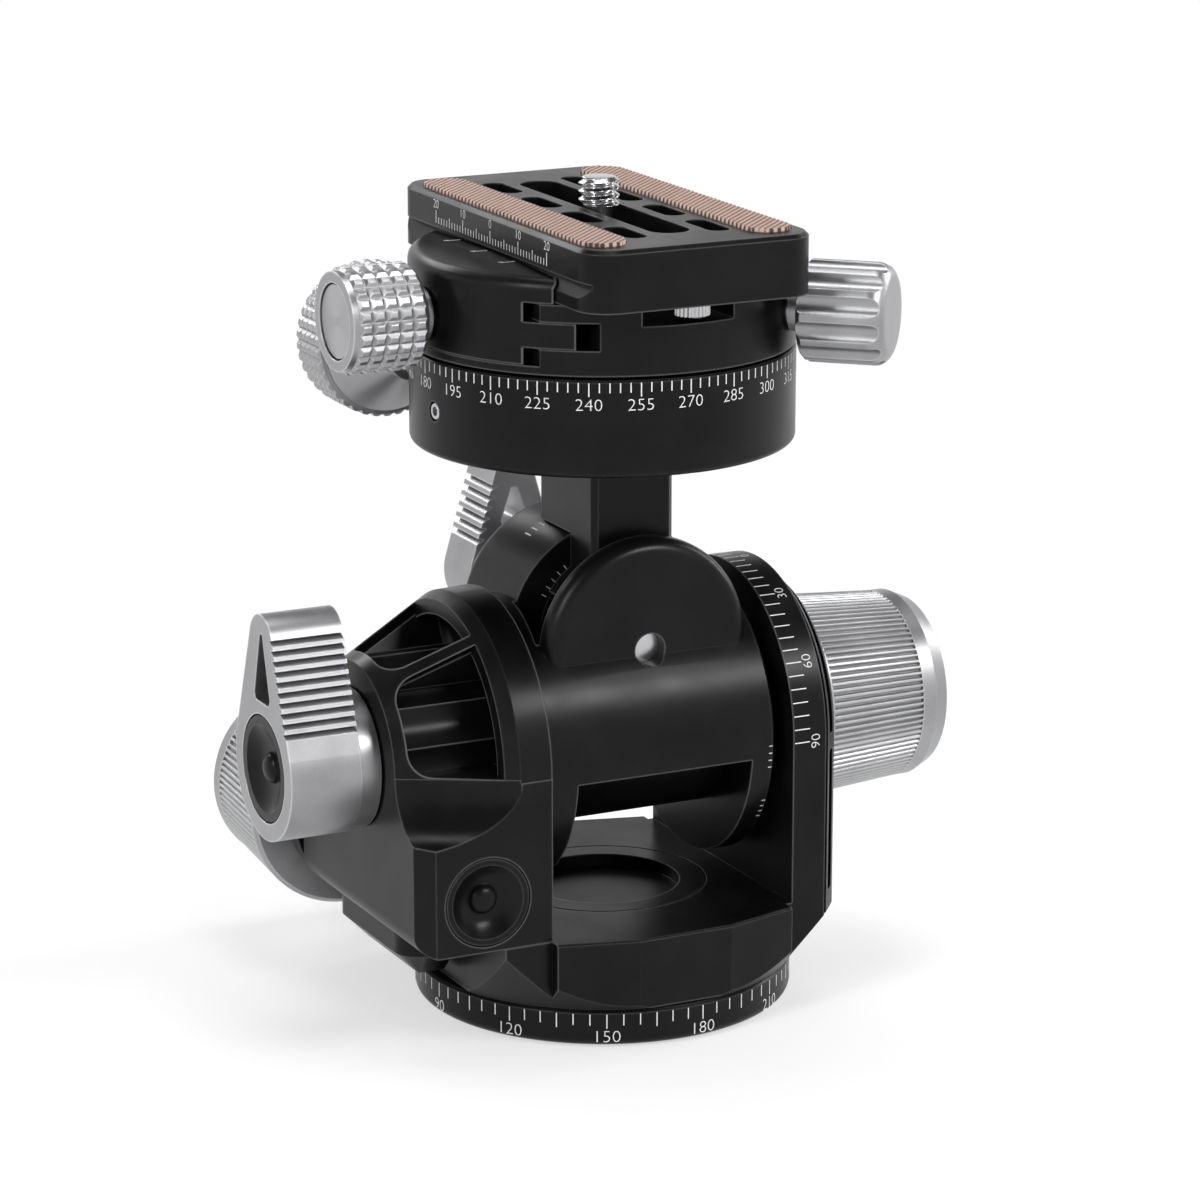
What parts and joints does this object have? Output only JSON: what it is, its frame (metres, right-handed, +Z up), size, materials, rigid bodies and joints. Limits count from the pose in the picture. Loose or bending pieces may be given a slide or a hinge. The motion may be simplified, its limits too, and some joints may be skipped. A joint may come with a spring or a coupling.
{
  "type": "geared tripod head",
  "caption": "Geared tripod head with crossed tilt and roll worm drives, panning base and geared panning clamp with a sliding quick-release plate.",
  "frame": {"origin": "centre of the base disc's underside, on the panning axis, at the mouth of the tripod thread", "axes": "+X along the tilt barrel towards the roll gear knob, +Y to the back, +Z up to the camera screw"},
  "size_m": [0.1126, 0.0894, 0.1305],
  "materials": {
    "black_metal": "black satin anodised",
    "silver": "grey satin anodised",
    "steel": "turned",
    "brass": "turned",
    "pad_rubber": "woven texture"
  },
  "bodies": {
    "base": {"base_disc": "black_metal", "thread_bush": "steel", "base_spindle": "steel", "spindle_nut": "steel", "glide_ring": "black_metal", "base_screws": "steel"},
    "frame": {"foot_frame": "black_metal", "foot_cap": "black_metal", "side_cover": "black_metal", "left_housing": "black_metal", "tilt_knob_collar": "black_metal", "tilt_worm_bushes": "brass", "worm_cap": "black_metal", "tilt_bush_left": "brass", "tilt_bush_inner": "brass", "tilt_bush_right": "brass"},
    "tilt_drive": {"tilt_worm": "steel", "tilt_knob": "silver"},
    "tilt_lock": {"tilt_lever": "silver", "tilt_lever_disc": "black_metal", "tilt_lock_bolt": "steel"},
    "barrel": {"barrel": "black_metal", "tilt_wheel": "brass", "tilt_shaft": "steel", "roll_worm_bush": "brass"},
    "roll_drive": {"roll_worm": "steel", "roll_knob": "silver"},
    "roll_lock": {"roll_lever": "silver", "roll_lever_disc": "black_metal", "roll_collar": "silver"},
    "neck": {"neck": "black_metal", "roll_wheel": "brass", "roll_pin": "steel", "neck_screws": "steel", "pan_ring": "black_metal", "pan_worm_bush": "brass", "pan_glide": "black_metal", "ring_set_screws": "steel"},
    "pan_drive": {"pan_worm": "steel", "pan_knob": "silver"},
    "clamp": {"clamp_body": "black_metal", "pan_wheel": "brass", "clamp_spindle": "steel", "guide_pins": "steel"},
    "pan_lock": {"pan_lock_screw": "steel", "pan_lock_knob": "silver"},
    "jaw": {"moving_jaw": "black_metal"},
    "jaw_drive": {"jaw_screw": "steel", "jaw_knob": "silver", "jaw_knob_disc": "silver"},
    "plate": {"plate": "black_metal", "plate_pads": "pad_rubber", "stop_screws": "steel"},
    "screw_carriage": {"screw_washer": "steel"},
    "camera_screw": {"camera_screw": "steel"}
  },
  "joints": [
    {"name": "base_pan", "type": "hinge", "parent": "base", "child": "frame", "pos_m": [0, 0, 0.0058], "axis": [0, 0, 1], "continuous": true},
    {"name": "tilt", "type": "hinge", "parent": "frame", "child": "barrel", "pos_m": [0, 0, 0.0435], "axis": [1, 0, 0], "range_deg": [-30, 90]},
    {"name": "tilt_knob_turn", "type": "hinge", "parent": "frame", "child": "tilt_drive", "pos_m": [-0.0312, 0, 0.0254], "axis": [0, 1, 0], "range_deg": [-3610, 1210]},
    {"name": "tilt_lever_turn", "type": "hinge", "parent": "frame", "child": "tilt_lock", "pos_m": [-0.046, 0, 0.0435], "axis": [1, 0, 0], "range_deg": [-60, 45]},
    {"name": "roll", "type": "hinge", "parent": "barrel", "child": "neck", "pos_m": [0, 0, 0.0595], "axis": [0, 1, 0], "range_deg": [-28, 28]},
    {"name": "roll_knob_turn", "type": "hinge", "parent": "barrel", "child": "roll_drive", "pos_m": [0.0315, 0, 0.0435], "axis": [1, 0, 0], "range_deg": [-1125, 1125]},
    {"name": "roll_lever_turn", "type": "hinge", "parent": "barrel", "child": "roll_lock", "pos_m": [0, 0.0325, 0.0595], "axis": [0, 1, 0], "range_deg": [-45, 45]},
    {"name": "pan", "type": "hinge", "parent": "neck", "child": "clamp", "pos_m": [0, 0, 0.1056], "axis": [0, 0, 1], "range_deg": [-30, 130]},
    {"name": "pan_knob_turn", "type": "hinge", "parent": "neck", "child": "pan_drive", "pos_m": [-0.021, 0, 0.1], "axis": [0, 1, 0], "range_deg": [-1210, 5210]},
    {"name": "pan_lock_turn", "type": "hinge", "parent": "clamp", "child": "pan_lock", "pos_m": [0.02158, -0.02012, 0.1117], "axis": [0.7314, -0.682, 0], "range_deg": [-180, 180]},
    {"name": "jaw_slide", "type": "slide", "parent": "clamp", "child": "jaw", "axis": [-1, 0, 0], "range_m": [0, 0.004]},
    {"name": "jaw_knob_turn", "type": "hinge", "parent": "jaw", "child": "jaw_drive", "pos_m": [-0.03, 0, 0.1119], "axis": [-1, 0, 0], "range_deg": [-5, 1200]},
    {"name": "plate_slide", "type": "slide", "parent": "clamp", "child": "plate", "axis": [0, 1, 0], "range_m": [-0.011, 0.011]},
    {"name": "screw_slide", "type": "slide", "parent": "plate", "child": "screw_carriage", "axis": [0, 1, 0], "range_m": [-0.02, 0.018]},
    {"name": "camera_screw_turn", "type": "hinge", "parent": "screw_carriage", "child": "camera_screw", "pos_m": [0, 0.0012, 0.12], "axis": [0, 0, 1], "continuous": true}
  ],
  "couplings": [
    {"joint": "tilt_knob_turn", "follows": "tilt", "ratio": -40},
    {"joint": "roll_knob_turn", "follows": "roll", "ratio": 40},
    {"joint": "pan_knob_turn", "follows": "pan", "ratio": 40},
    {"joint": "jaw_knob_turn", "follows": "jaw_slide", "rad_per_m": 5026.6}
  ]
}
